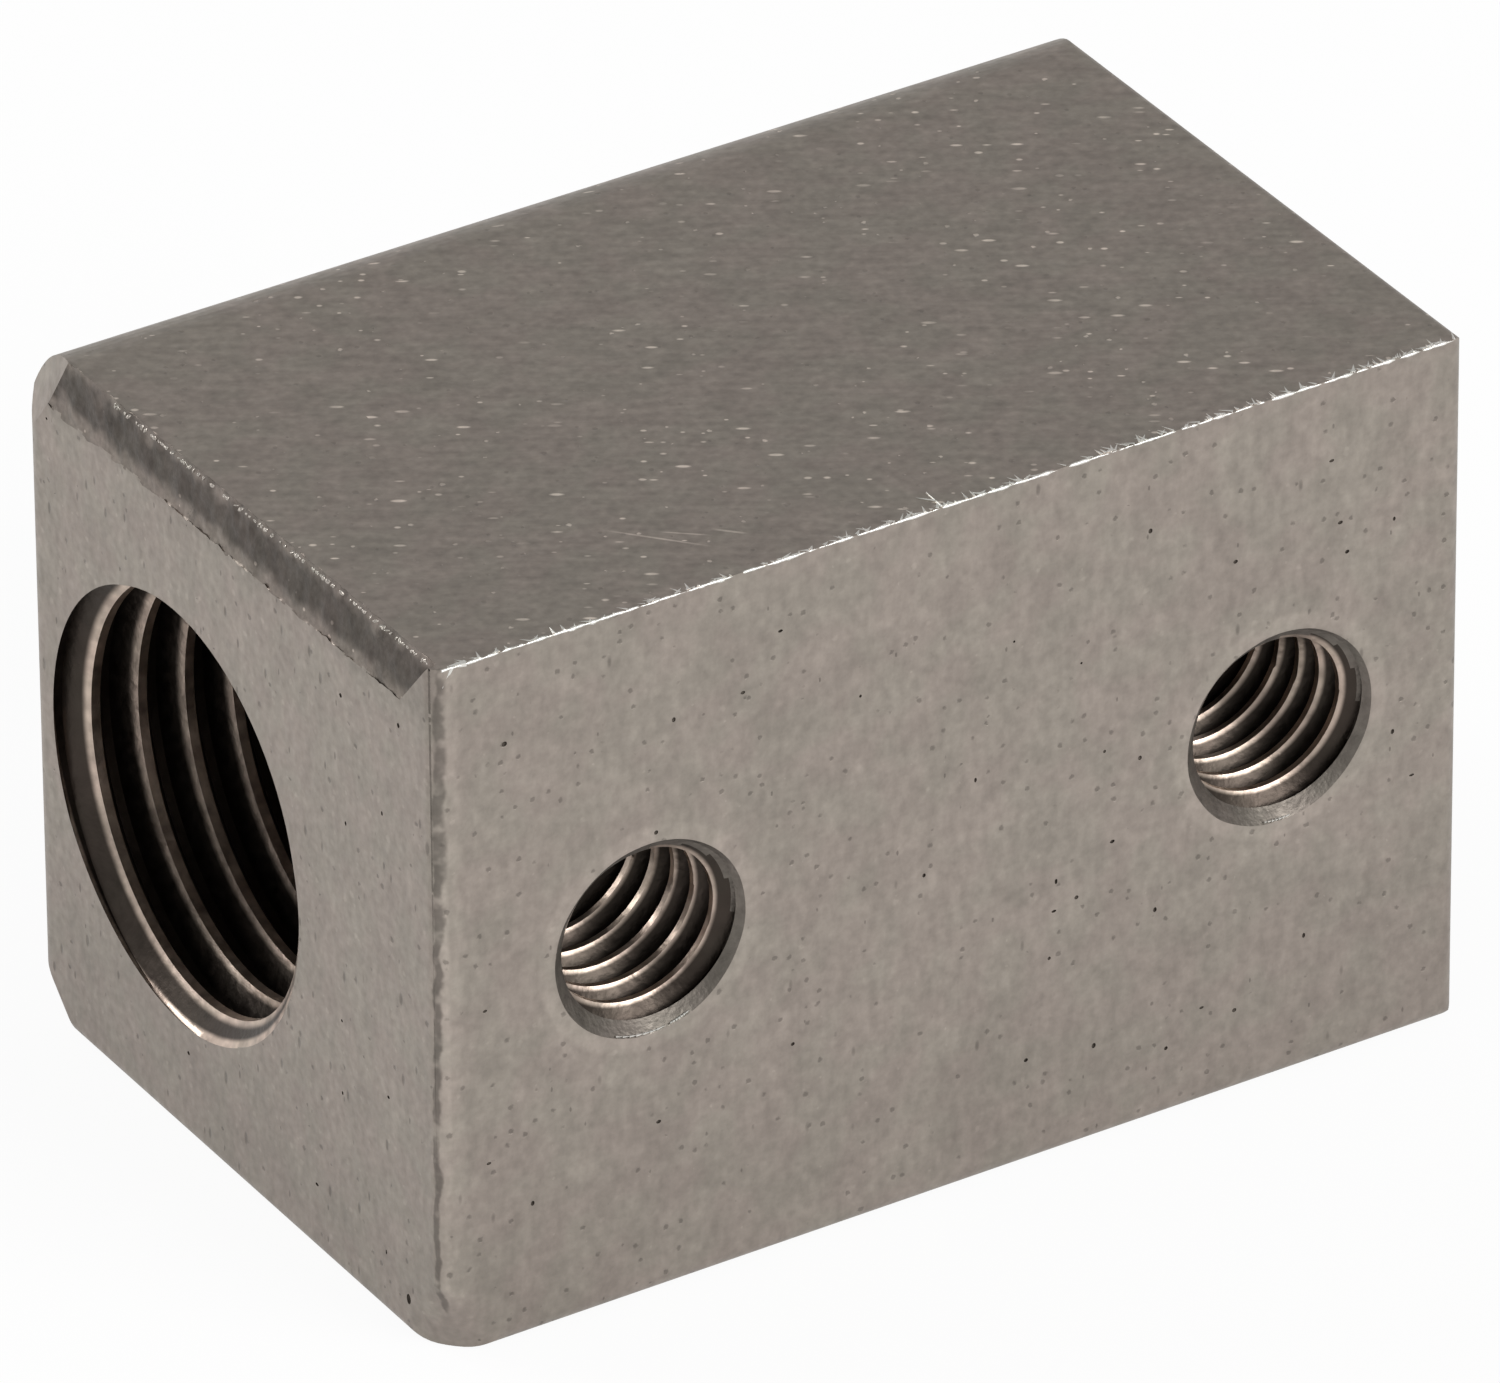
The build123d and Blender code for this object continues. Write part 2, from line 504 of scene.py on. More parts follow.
def screw_zone(place, x):
    """Which finish a place has in the screw hole at this length along the block, if any."""
    reach = from_axis(place, Vector((x, 0, SCREW_AXIS.z)), 1)
    if reach >= SCREW_OUTER_RADIUS + SCREW_ZONE_MARGIN or place.y >= 0:
        return None
    depth = place.y - LOW.y
    cone = SCREW_BORE_RADIUS + SCREW_COUNTERSINK - depth - CONE_ZONE_MARGIN
    return SUNK if reach > cone and depth < SCREW_COUNTERSINK else TAPPED


def zone_of(face):
    """Which finish a face of the cut block has."""
    if face.material_index == PITTED:
        return PITTED
    place = face.calc_center_median()
    if min(place.x - LOW.x, HIGH.x - place.x, place.y - LOW.y) < SURFACE_DEPTH:
        return PLAIN
    if from_axis(place, MAIN_AXIS, 0) < MAIN_OUTER_RADIUS + MAIN_ZONE_MARGIN:
        return TAPPED
    for x in SCREW_XS:
        zone = screw_zone(place, x)
        if zone is not None:
            return zone
    return FILED if face.material_index == FILED else PLAIN


def named_mesh(body, materials):
    """The body as the block's mesh, with its materials."""
    mesh = bpy.data.meshes.new("block")
    for material in materials:
        mesh.materials.append(material)
    body.to_mesh(mesh)
    return mesh


def draw_in(body):
    """Shrinks the body by the skin at every side but its base."""
    size = HIGH - LOW
    factors = [1 - 2 * SKIN / size.x, 1 - 2 * SKIN / size.y, 1 - SKIN / size.z]
    bmesh.ops.scale(body, vec=factors, verts=body.verts)


def finished_block(materials):
    """The block as it is seen: roughened, tapped, drawn in by the skin, and smooth-edged."""
    body = merged_block()
    mark_bevel(body)
    roughen_bevel(body)
    mesh = cut(named_mesh(body, materials), hole_cutters())
    body.clear()
    body.from_mesh(mesh)
    for face in body.faces:
        face.material_index = zone_of(face)
        face.smooth = True
    draw_in(body)
    mesh = named_mesh(body, materials)
    body.free()
    mesh.set_sharp_from_angle(angle=SHARP_EDGE)
    block = linked("machined_block", mesh)
    weighted = block.modifiers.new("weighted normals", "WEIGHTED_NORMAL")
    weighted.keep_sharp = True
    weighted.weight = 50
    return block


# ---------------------------------------------------------------- burrs

# The top front edge's burr: a ragged wire of steel, with slivers that lean in over the top
TOP = HIGH.z - SKIN
FRONT = LOW.y + SKIN
WIRE_RADIUS = 0.06 * MM
WIRE_WANDER = 0.05 * MM
WIRE_STEPS = 420
WIRE_SIDES = 7
SLIVER_COUNT = 190
BURR_LEFT_END = LOW.x + 0.35 * MM
BURR_RIGHT_END = HIGH.x - 0.45 * MM

# Every burr stays this far inside the block's overall size
BOX_CLEARANCE = 0.002 * MM

# Beads of steel that the file rolled over along the bevel's upper line
BEAD_COUNT = 110
BEADS_FROM = Vector((LOW.x + 0.24 * MM, LOW.y + 0.6 * MM, HIGH.z - 0.08 * MM))
BEADS_TO = Vector((LOW.x + 0.1 * MM, HIGH.y - 5 * MM, HIGH.z - 0.08 * MM))


def wire_tree():
    """A ragged wire from one point to another, thicker and thinner along its way."""
    wiring, given = geometry_tree(
        "ragged_wire",
        {"Start": "Vector", "End": "Vector", "Radius": "Float", "Wander": "Float", "Material": "Material"},
    )
    calc = wiring.calc
    line = wiring.node("GeometryNodeCurvePrimitiveLine", {"Start": given["Start"], "End": given["End"]})
    steps = wiring.node("GeometryNodeResampleCurve", {"Curve": line.outputs[0], "Count": WIRE_STEPS})
    place = wiring.node("GeometryNodeInputPosition").outputs[0]
    offset = wiring.scaled(wiring.drift(place, 0.45 * MM), given["Wander"])
    moved = wiring.node("GeometryNodeSetPosition", {"Geometry": steps.outputs[0], "Offset": offset})
    fine = wiring.node("ShaderNodeTexNoise", {"Vector": place, "Scale": 1 / (0.3 * MM), "Detail": 3})
    swell = calc("MULTIPLY_ADD", fine.outputs[0], 2.2, -0.45)
    radius = calc("MULTIPLY", given["Radius"], calc("MAXIMUM", swell, 0.12))
    ring = wiring.node("GeometryNodeCurvePrimitiveCircle", {"Resolution": WIRE_SIDES, "Radius": 1})
    tube = wiring.node(
        "GeometryNodeCurveToMesh",
        {
            "Curve": moved.outputs[0],
            "Profile Curve": ring.outputs[0],
            "Scale": radius,
            "Fill Caps": True,
        },
    )
    return close_tree(wiring, tube.outputs[0], given["Material"])


def scatter_tree(name, add_grain):
    """Grains of steel at random along a line, each turned and sized at random."""
    wiring, given = geometry_tree(
        name,
        {
            "Start": "Vector",
            "End": "Vector",
            "Count": "Int",
            "Seed": "Int",
            "Gather": "Float",
            "Least turn": "Vector",
            "Most turn": "Vector",
            "Least size": "Vector",
            "Most size": "Vector",
            "Material": "Material",
        },
    )

    def chance(kind, least, most, offset):
        """A random number (FLOAT) or vector (FLOAT_VECTOR) for each grain."""
        made = wiring.node("FunctionNodeRandomValue", data_type=kind)
        socket, result = {"FLOAT": (2, 1), "FLOAT_VECTOR": (0, 0)}[kind]
        wiring.feed(made.inputs[socket], least)
        wiring.feed(made.inputs[socket + 1], most)
        wiring.feed(made.inputs["Seed"], wiring.calc("ADD", given["Seed"], offset))
        return made.outputs[result]

    share = wiring.calc("POWER", chance("FLOAT", 0.0, 1.0, 0), given["Gather"])
    place = wiring.mix("VECTOR", share, given["Start"], given["End"])
    points = wiring.node("GeometryNodePoints", {"Count": given["Count"], "Position": place})
    turn = chance("FLOAT_VECTOR", given["Least turn"], given["Most turn"], 1)
    size = chance("FLOAT_VECTOR", given["Least size"], given["Most size"], 2)
    placed = wiring.node(
        "GeometryNodeInstanceOnPoints",
        {"Points": points.outputs[0], "Instance": add_grain(wiring), "Rotation": turn, "Scale": size},
    )
    return close_tree(wiring, placed.outputs[0], given["Material"])


def lump(wiring):
    """A bead one unit in radius."""
    return wiring.node("GeometryNodeMeshIcoSphere", {"Radius": 1, "Subdivisions": 2}).outputs[0]


def sliver(wiring):
    """A spike one unit long on a base one unit in radius, pointing up."""
    made = wiring.node(
        "GeometryNodeMeshCone", {"Vertices": 5, "Radius Top": 0.08, "Radius Bottom": 1, "Depth": 1}
    )
    return made.outputs[0]


def spike(body, base, tip, radius):
    """A spike of steel from one point to another, added to a mesh."""
    along = tip - base
    turn = along.to_track_quat("Z", "Y").to_matrix().to_4x4()
    matrix = Matrix.Translation((base + tip) / 2) @ turn
    bmesh.ops.create_cone(
        body, cap_ends=True, segments=6, radius1=radius, radius2=radius * 0.15,
        depth=along.length, matrix=matrix,
    )


def curl(body, centre, radius, start, end, thickness):
    """A short run of burr that follows a screw hole's rim on the front face."""
    steps = 7
    for i in range(steps):
        ends = []
        for share in (i / steps, (i + 1.25) / steps):
            angle = math.radians(start + (end - start) * share)
            ends.append(centre + radius * Vector((math.cos(angle), 0, math.sin(angle))))
        spike(body, ends[0], ends[1], thickness * (0.6 + 0.4 * math.sin(math.pi * (i + 0.5) / steps)))


def loose_burrs():
    """The single burrs: at the corners, on the top front edge and round the screw holes."""
    body = bmesh.new()
    edge = Vector((0, FRONT + 0.02 * MM, TOP - 0.02 * MM))

    def at(x, y, z):
        return edge + Vector((x, y, z)) * MM

    # A forked burr near the middle, and the folded end of the burr at each corner
    spike(body, at(-0.45, 0, 0), at(-0.42, 0.85, 0.03), 0.05 * MM)
    spike(body, at(-0.45, 0.35, 0.02), at(-0.8, 0.75, 0.03), 0.045 * MM)
    spike(body, at(-12.65, 0, 0), at(-12.6, 0.32, 0.03), 0.06 * MM)
    spike(body, at(-15.4, 0, 0), at(-16.15, 0.12, -0.02), 0.11 * MM)
    spike(body, at(-15.85, 0.05, 0), at(-16.12, 0.02, -0.55), 0.1 * MM)
    spike(body, at(15.2, 0.05, 0), at(16.25, 0.1, -0.05), 0.07 * MM)
    # Curls on the lower rims of both screw holes
    for x, start, end in ((SCREW_XS[0], -112, -82), (SCREW_XS[0], -78, -66), (SCREW_XS[1], -100, -84)):
        centre = Vector((x, FRONT - 0.005 * MM, SCREW_AXIS.z))
        curl(body, centre, SCREW_OUTER_RADIUS - 0.05 * MM, start, end, 0.04 * MM)
    mesh = bpy.data.meshes.new("loose_burrs")
    body.to_mesh(mesh)
    body.free()
    return mesh


def burr_meshes(fresh, worn):
    """Every burr as a plain mesh, by name, in fresh or in worn steel."""
    wire = wire_tree()
    slivers = scatter_tree("slivers", sliver)
    beads = scatter_tree("beads", lump)
    depth = Vector((0, FRONT + 0.02 * MM, TOP - 0.03 * MM))
    left = depth + Vector((BURR_LEFT_END, 0, 0))
    right = depth + Vector((BURR_RIGHT_END, 0, 0))
    yield "edge_burr", grown(
        wire,
        {"Start": left, "End": right, "Radius": WIRE_RADIUS, "Wander": WIRE_WANDER, "Material": fresh},
    )
    flat = math.radians(90)
    yield "burr_slivers", grown(
        slivers,
        {
            "Start": right + Vector((0, 0, 0.03 * MM)),
            "End": left + Vector((0, 0, 0.03 * MM)),
            "Count": SLIVER_COUNT,
            "Seed": 4,
            "Gather": 1.35,
            "Least turn": (-flat, 0, -1.2),
            "Most turn": (-flat, 0, 1.2),
            "Least size": Vector((0.03, 0.02, 0.08)) * MM,
            "Most size": Vector((0.07, 0.045, 0.42)) * MM,
            "Material": fresh,
        },
    )
    yield "bevel_beads", grown(
        beads,
        {
            "Start": BEADS_FROM,
            "End": BEADS_TO,
            "Count": BEAD_COUNT,
            "Seed": 9,
            "Gather": 1.0,
            "Least turn": (0, 0, 0),
            "Most turn": (math.tau, math.tau, math.tau),
            "Least size": Vector((0.02, 0.02, 0.02)) * MM,
            "Most size": Vector((0.07, 0.1, 0.06)) * MM,
            "Material": worn,
        },
    )
    yield "loose_burrs", loose_burrs()


def kept_in_box(mesh):
    """Draws in anything that reaches past the block's overall size."""
    for vert in mesh.vertices:
        for i in range(3):
            inside_low = max(vert.co[i], LOW[i] + BOX_CLEARANCE)
            vert.co[i] = min(inside_low, HIGH[i] - BOX_CLEARANCE)


def make_burrs(fresh, worn):
    """Every burr as an object."""
    for name, mesh in burr_meshes(fresh, worn):
        kept_in_box(mesh)
        if not mesh.materials:
            mesh.materials.append(fresh)
        yield linked(name, mesh)


# ---------------------------------------------------------------- steel

# How the milling marks and the painted glint dashes lie on the top, from the block's length
TOP_LAY = math.radians(-31.5)

# The long scratches on the top: both ends along X and Y, and a width, in millimetres
TOP_SCRATCHES = (
    ((-8.81, -7.01), (-6.69, -9.42), 0.05),
    ((-6.31, -8.55), (-5.54, -9.35), 0.06),
    ((-7.6, -7.9), (-6.4, -8.9), 0.04),
)


def new_material(name):
    """A material with a plain shader, and the wiring of its tree."""
    material = bpy.data.materials.new(name)
    material.use_nodes = True
    return material, Wiring(material.node_tree), material.node_tree.nodes["Principled BSDF"]


class Steel(Wiring):
    """A bare steel's material: what its colour, roughness and bump are built up from."""

    def __init__(self, name, colour, roughness):
        self.material, wiring, self.shader = new_material(name)
        super().__init__(wiring.tree)
        self.shader.inputs["Metallic"].default_value = 1
        coordinates = self.node("ShaderNodeTexCoord").outputs
        self.place = coordinates["Object"]
        self.facing = self.parts(coordinates["Normal"])
        self.at = self.parts(self.place)
        self.colour = colour
        self.roughness = roughness
        self.tone = self.calc("ADD", 1, 0)
        self.height = self.calc("ADD", 0, 0)

    def noise(self, size, detail=2, place=None):
        """Noise from 0 to 1 with lumps of about this size."""
        inputs = {"Vector": place or self.place, "Scale": 1 / size, "Detail": detail}
        return self.node("ShaderNodeTexNoise", inputs).outputs[0]

    def squeezed(self, factors, turn=0.0):
        """The place turned about the vertical, then squeezed along its axes."""
        turned = self.node(
            "ShaderNodeVectorRotate", {"Vector": self.place, "Angle": turn}, rotation_type="Z_AXIS"
        )
        made = self.node(
            "ShaderNodeVectorMath", {0: turned.outputs[0], 1: factors}, operation="MULTIPLY"
        )
        return made.outputs[0]

    def bent(self, amount):
        """The place pushed about by fine noise, so that spots in it come out uneven."""
        shift = self.scaled(self.drift(self.place, 0.12 * MM), amount)
        return self.node("ShaderNodeVectorMath", {0: self.place, 1: shift}, operation="ADD").outputs[0]

    def flecks(self, spacing, radius, share, place=None):
        """Small spots at random: 1 at the middle of each, 0 between them."""
        cells = self.node(
            "ShaderNodeTexVoronoi", {"Vector": place or self.place, "Scale": 1 / spacing}
        ).outputs
        chance = self.parts(cells["Color"])
        reach = self.calc("MULTIPLY", self.calc("ADD", chance["Y"], 0.45), radius / spacing)
        spot = self.calc("SUBTRACT", 1, self.calc("DIVIDE", cells["Distance"], reach))
        spot = self.calc("MINIMUM", self.calc("MAXIMUM", self.calc("MULTIPLY", spot, 2.5), 0), 1)
        return self.calc("MULTIPLY", spot, self.calc("LESS_THAN", chance["X"], share))

    def vary(self, amount, pattern):
        """Brightens the tone by an amount where a pattern is 1, or darkens it if negative."""
        change = self.calc("MULTIPLY_ADD", pattern, amount, 1)
        self.tone = self.calc("MULTIPLY", self.tone, change)

    def ripple(self, amount, pattern):
        """Brightens and darkens the tone evenly about its middle by a pattern from 0 to 1."""
        self.vary(amount, self.calc("SUBTRACT", pattern, 0.5))

    def raise_by(self, amount, pattern):
        """Raises the bump where a pattern is 1, or lowers it if the amount is negative."""
        self.height = self.calc("MULTIPLY_ADD", pattern, amount, self.height)

    def smooth(self, value, low, high):
        """0 below a low value and 1 above a high one, with a soft step between."""
        made = self.node(
            "ShaderNodeMapRange",
            {"Value": value, "From Min": low, "From Max": high},
            interpolation_type="SMOOTHSTEP",
        )
        return made.outputs[0]

    def near(self, axis, far, close):
        """1 within a close reach of the left end (X) or the front (Y), and 0 past a far one."""
        face = {"X": LOW.x, "Y": LOW.y}[axis]
        return self.smooth(self.at[axis], face + far * MM, face + close * MM)

    def where(self, *masks):
        """1 only where every mask is 1."""
        product = masks[0]
        for mask in masks[1:]:
            product = self.calc("MULTIPLY", product, mask)
        return product

    def line_mark(self, value, middle, half_width):
        """1 where a value is at its middle, falling to 0 half a width either side."""
        off = self.calc("ABSOLUTE", self.calc("SUBTRACT", value, middle))
        return self.smooth(off, half_width, 0.4 * half_width)

    def stroke(self, start, end, width):
        """A straight scratch on the top, between two places given along X and Y."""
        run = Vector((end[0] - start[0], end[1] - start[1])) * MM
        along = run.normalized()
        x = self.calc("SUBTRACT", self.at["X"], start[0] * MM)
        y = self.calc("SUBTRACT", self.at["Y"], start[1] * MM)
        length = self.calc("MULTIPLY_ADD", x, along.x, self.calc("MULTIPLY", y, along.y))
        aside = self.calc("MULTIPLY_ADD", x, -along.y, self.calc("MULTIPLY", y, along.x))
        mark = self.line_mark(aside, 0, width)
        return self.calc("MULTIPLY", mark, self.line_mark(length, run.length / 2, run.length / 2))

    def finished(self, bump):
        """Joins what was built up to the shader, with its bump this deep."""
        red, green, blue = self.colour
        warm = (red, green, blue, 1)
        greenish = (red * 0.975, green * 1.005, blue * 0.99, 1)
        patches = self.smooth(self.noise(1.5 * MM, 1), 0.35, 0.65)
        colour = self.mix("RGBA", patches, warm, greenish)
        self.feed(self.shader.inputs["Base Color"], self.scaled(colour, self.tone))
        grain = self.calc("SUBTRACT", self.noise(0.3 * MM, 3), 0.5)
        roughness = self.calc("MULTIPLY_ADD", grain, 0.3, self.roughness)
        self.feed(self.shader.inputs["Roughness"], roughness)
        made = self.node("ShaderNodeBump", {"Strength": 1.0, "Distance": bump, "Height": self.height})
        self.feed(self.shader.inputs["Normal"], made.outputs[0])
        return self.material


def milled_steel():
    """The flats: mottled and specked, with painted glints and real scratches on the top, and painted shade
    towards the base of the sides.
    """
    steel = Steel("milled_steel_face", (0.343, 0.297, 0.262), 0.46)
    on_top = steel.smooth(steel.facing["Z"], 0.6, 0.9)
    on_side = steel.calc("SUBTRACT", 1, on_top)
    upright = steel.squeezed((1, 1, 0.4))
    uneven = steel.bent(0.12 * MM)
    steel.ripple(0.26, steel.noise(1.3 * MM, 2))
    steel.ripple(0.45, steel.noise(0.27 * MM, 3))
    steel.ripple(0.35, steel.noise(0.35 * MM, 2, upright))
    specks = steel.flecks(spacing=0.45 * MM, radius=0.085 * MM, share=0.4, place=uneven)
    streaks = steel.flecks(spacing=0.5 * MM, radius=0.07 * MM, share=0.35, place=upright)
    dark = steel.calc("MAXIMUM", specks, streaks)
    steel.vary(-0.33, steel.where(dark, steel.calc("MULTIPLY_ADD", on_top, -0.5, 1)))
    # Painted shade: the sides darken towards the base, standing in for the shadowed floor seen in the
    # steel
    steel.vary(-0.1, steel.where(steel.smooth(steel.at["Z"], 9 * MM, 0.5 * MM), on_side))
    pale = steel.flecks(spacing=0.5 * MM, radius=0.09 * MM, share=0.3, place=uneven)
    steel.vary(0.14, steel.where(pale, on_side))
    mark_top(steel, on_top, uneven)
    paint_front_edge_shade_and_highlight(steel)
    mark_rims(steel)
    paint_shade_below_bevel(steel)
    steel.raise_by(0.5, steel.noise(0.22 * MM, 4))
    steel.raise_by(-0.8, dark)
    return steel.finished(bump=0.012 * MM)


def mark_top(steel, on_top, uneven):
    """The top's painted glints as bright flecks and dashes, its milling marks and its scratches."""
    calc = steel.calc
    lay = steel.squeezed((0.2, 1, 1), -TOP_LAY)
    long_lay = steel.squeezed((0.33, 1, 1), -TOP_LAY)
    short_lay = steel.squeezed((0.6, 1, 1), -TOP_LAY)
    # Painted glints: bright flecks and dashes on the top stand in for light caught by small dents
    dashes = steel.flecks(spacing=0.28 * MM, radius=0.06 * MM, share=0.18, place=long_lay)
    dots = steel.flecks(spacing=0.45 * MM, radius=0.065 * MM, share=0.32, place=uneven)
    shorter = steel.flecks(spacing=0.33 * MM, radius=0.06 * MM, share=0.26, place=short_lay)
    bright = calc("MAXIMUM", calc("MAXIMUM", dashes, dots), shorter)
    thick = steel.smooth(steel.noise(3.0 * MM, 1), 0.3, 0.6)
    steel.vary(1.35, steel.where(bright, thick, on_top))
    milling = calc("SUBTRACT", steel.noise(0.3 * MM, 3, lay), 0.5)
    steel.vary(0.4, steel.where(milling, on_top))
    for start, end, width in TOP_SCRATCHES:
        steel.vary(0.7, steel.where(steel.stroke(start, end, width * MM), on_top))


def paint_front_edge_shade_and_highlight(steel):
    """The left end's front edge: painted shade as a dark broken line, with painted highlights and a paler
    painted band beside it.
    """
    calc = steel.calc
    wobble = calc("SUBTRACT", steel.noise(0.9 * MM, 3), 0.5)
    near_end = steel.near("X", far=0.5, close=0.35)
    lean = calc("MULTIPLY_ADD", steel.at["Z"], -0.016, LOW.y + 0.45 * MM)
    middle = calc("MULTIPLY_ADD", wobble, 0.42 * MM, lean)
    # Painted shade of the edge's rounding: a dark broken line on the left end
    line = steel.line_mark(steel.at["Y"], middle, 0.13 * MM)
    broken = steel.smooth(steel.noise(0.6 * MM, 2), 0.28, 0.5)
    steel.vary(-0.42, steel.where(line, near_end, broken))
    # Painted highlight beside the painted shade line
    glint = steel.line_mark(steel.at["Y"], calc("SUBTRACT", middle, 0.2 * MM), 0.13 * MM)
    steel.vary(0.3, steel.where(glint, near_end, steel.noise(0.3 * MM, 2)))
    # Painted highlight: a paler band along the edge
    band = steel.near("X", far=0.95, close=0.6)
    steel.vary(0.13, steel.where(band, steel.near("Y", far=0.3, close=0.1)))


def paint_shade_below_bevel(steel):
    """Painted shade: dark smears on the left end under the bevel."""
    calc = steel.calc
    wobble = calc("SUBTRACT", steel.noise(0.8 * MM, 3), 0.5)
    height = calc("MULTIPLY_ADD", wobble, 0.9 * MM, steel.at["Z"])
    # Painted shade that softens the bevel's lower edge
    painted_shade_smear = steel.smooth(height, HIGH.z - 2.3 * MM, HIGH.z - 1.5 * MM)
    near_end = steel.near("X", far=0.35, close=0.2)
    steel.vary(-0.22, steel.where(painted_shade_smear, near_end, steel.noise(0.3 * MM, 2)))


def reach_from(steel, axis_point, first, second):
    """How far a place is from a line through a point, along the axis that isn't named."""
    squares = []
    for axis in (first, second):
        off = steel.calc("SUBTRACT", steel.at[axis], getattr(axis_point, axis.lower()))
        squares.append(steel.calc("MULTIPLY", off, off))
    return steel.calc("SQRT", steel.calc("ADD", *squares))


def mark_rims(steel):
    """Paler rings where the countersinks threw up the steel round the screw holes."""
    for x in SCREW_XS:
        reach = reach_from(steel, Vector((x, 0, SCREW_AXIS.z)), "X", "Z")
        halo = steel.line_mark(reach, SCREW_OUTER_RADIUS + 0.25 * MM, 0.35 * MM)
        steel.vary(0.12, steel.where(halo, steel.near("Y", far=0.3, close=0.1)))


def filed_steel():
    """The bevel: torn, its dark colour partly the filed finish and partly painted shade, with a painted
    shadow along its upper part.
    """
    # The dark base colour stands partly for the filed finish and partly for painted shade
    steel = Steel("filed_steel", (0.24, 0.203, 0.178), 0.5)
    calc = steel.calc
    steel.ripple(0.7, steel.noise(0.7 * MM, 3))
    steel.ripple(0.7, steel.noise(0.2 * MM, 3))
    # Painted shadow: a dark line along the bevel's upper part, below the beads
    wobble = calc("SUBTRACT", steel.noise(0.9 * MM, 2), 0.5)
    shadow_gap_height = calc("MULTIPLY_ADD", wobble, 1.0 * MM, HIGH.z - 0.85 * MM)
    steel.vary(-0.55, steel.line_mark(steel.at["Z"], shadow_gap_height, 0.75 * MM))
    torn = steel.bent(0.4 * MM)
    steel.vary(-0.3, steel.flecks(spacing=0.9 * MM, radius=0.35 * MM, share=0.5, place=torn))
    steel.vary(1.2, steel.flecks(spacing=0.5 * MM, radius=0.06 * MM, share=0.3))
    steel.raise_by(1, steel.noise(0.25 * MM, 3))
    return steel.finished(bump=0.03 * MM)


def painted_crest_highlights(steel, reach, crest_radius, groove_radius):
    """1 on a thread's crests, where a highlight is painted, falling to 0 a little way down its sides."""
    depth = groove_radius - crest_radius
    return steel.smooth(reach, crest_radius + 0.32 * depth, crest_radius + 0.08 * depth)


def tapped_steel():
    """The threads: near black in the grooves, with painted highlights along the crests and at the left
    mouth.
    """
    steel = Steel("tapped_steel", (0.055, 0.044, 0.037), 0.36)
    calc = steel.calc
    reach = reach_from(steel, MAIN_AXIS, "Y", "Z")
    main = painted_crest_highlights(steel, reach, MAIN_BORE_RADIUS, MAIN_OUTER_RADIUS)
    bright = steel.where(main, calc("GREATER_THAN", steel.at["Y"], SCREWS_END))
    in_front = calc("LESS_THAN", steel.at["Y"], SCREWS_END)
    for x in SCREW_XS:
        reach = reach_from(steel, Vector((x, 0, SCREW_AXIS.z)), "X", "Z")
        screw = painted_crest_highlights(steel, reach, SCREW_BORE_RADIUS, SCREW_OUTER_RADIUS)
        bright = calc("MAXIMUM", bright, steel.where(screw, in_front))
    # Painted highlight on the main thread's left mouth
    bright = calc("MAXIMUM", bright, steel.near("X", far=0.2, close=0.12))
    # Painted highlights: the crests brightened many times over
    steel.vary(12.0, steel.where(bright, calc("ADD", steel.noise(0.5 * MM, 3), 0.2)))
    steel.ripple(0.5, steel.noise(0.6 * MM, 3))
    steel.raise_by(1, steel.noise(0.2 * MM, 3))
    return steel.finished(bump=0.012 * MM)


def sunk_steel():
    """The countersinks: turned smooth, a little darker than the face."""
    steel = Steel("countersunk_steel", (0.19, 0.166, 0.146), 0.5)
    steel.ripple(0.8, steel.noise(0.5 * MM, 3))
    steel.raise_by(1, steel.noise(0.15 * MM, 3))
    return steel.finished(bump=0.02 * MM)


def pitted_steel():
    """The bottoms of the pits, where dirt has stayed."""
    steel = Steel("pitted_steel", (0.11, 0.093, 0.08), 0.7)
    steel.ripple(0.5, steel.noise(0.08 * MM, 2))
    steel.raise_by(1, steel.noise(0.05 * MM, 2))
    return steel.finished(bump=0.01 * MM)


def torn_steel(name, colour):
    """The burrs: torn metal, brighter the fresher it is."""
    steel = Steel(name, colour, 0.4)
    steel.ripple(0.35, steel.noise(0.3 * MM, 3))
    steel.raise_by(1, steel.noise(0.05 * MM, 2))
    return steel.finished(bump=0.006 * MM)


# ---------------------------------------------------------------- studio

CAMERA_PLACE = Vector((-235.9, -380.75, 283.11)) * MM
CAMERA_AZIMUTH = math.radians(31.805)
CAMERA_ELEVATION = math.radians(31.336)
CAMERA_ROLL = math.radians(-0.412)
LENS = 456.84
SENSOR = 36.0

FLOOR_LEVEL = -0.02 * MM
FLOOR_REACH = 2.0

# How much of the floor is plain white to the camera, and how much in the metal's gloss
WHITE_SEEN = 0.93
WHITE_SEEN_IN_METAL = 0.7
WORLD_STRENGTH = 0.5
# Soft boxes: their size, how far off they stand, and the direction and watts of each
BOX_SIZE = 0.3
BOX_DISTANCE = 0.6
RIGHT_FRONT_BOX = (0.3, -0.75, 0.5), 2.5
BACK_LEFT_BOX = (-0.52, 0.73, 0.45), 1.6


def make_camera():
    """The camera, at the angle and distance that the block is seen from."""
    data = bpy.data.cameras.new("camera")
    data.lens = LENS
    data.sensor_width = SENSOR
    data.sensor_fit = "HORIZONTAL"
    data.clip_start = 0.01
    level = math.cos(CAMERA_ELEVATION)
    ahead = Vector(
        (
            math.sin(CAMERA_AZIMUTH) * level,
            math.cos(CAMERA_AZIMUTH) * level,
            -math.sin(CAMERA_ELEVATION),
        )
    )
    turn = ahead.to_track_quat("-Z", "Y").to_matrix().to_4x4()
    camera = linked("camera", data)
    camera.matrix_world = Matrix.Translation(CAMERA_PLACE) @ turn @ Matrix.Rotation(CAMERA_ROLL, 4, "Z")
    bpy.context.scene.camera = camera


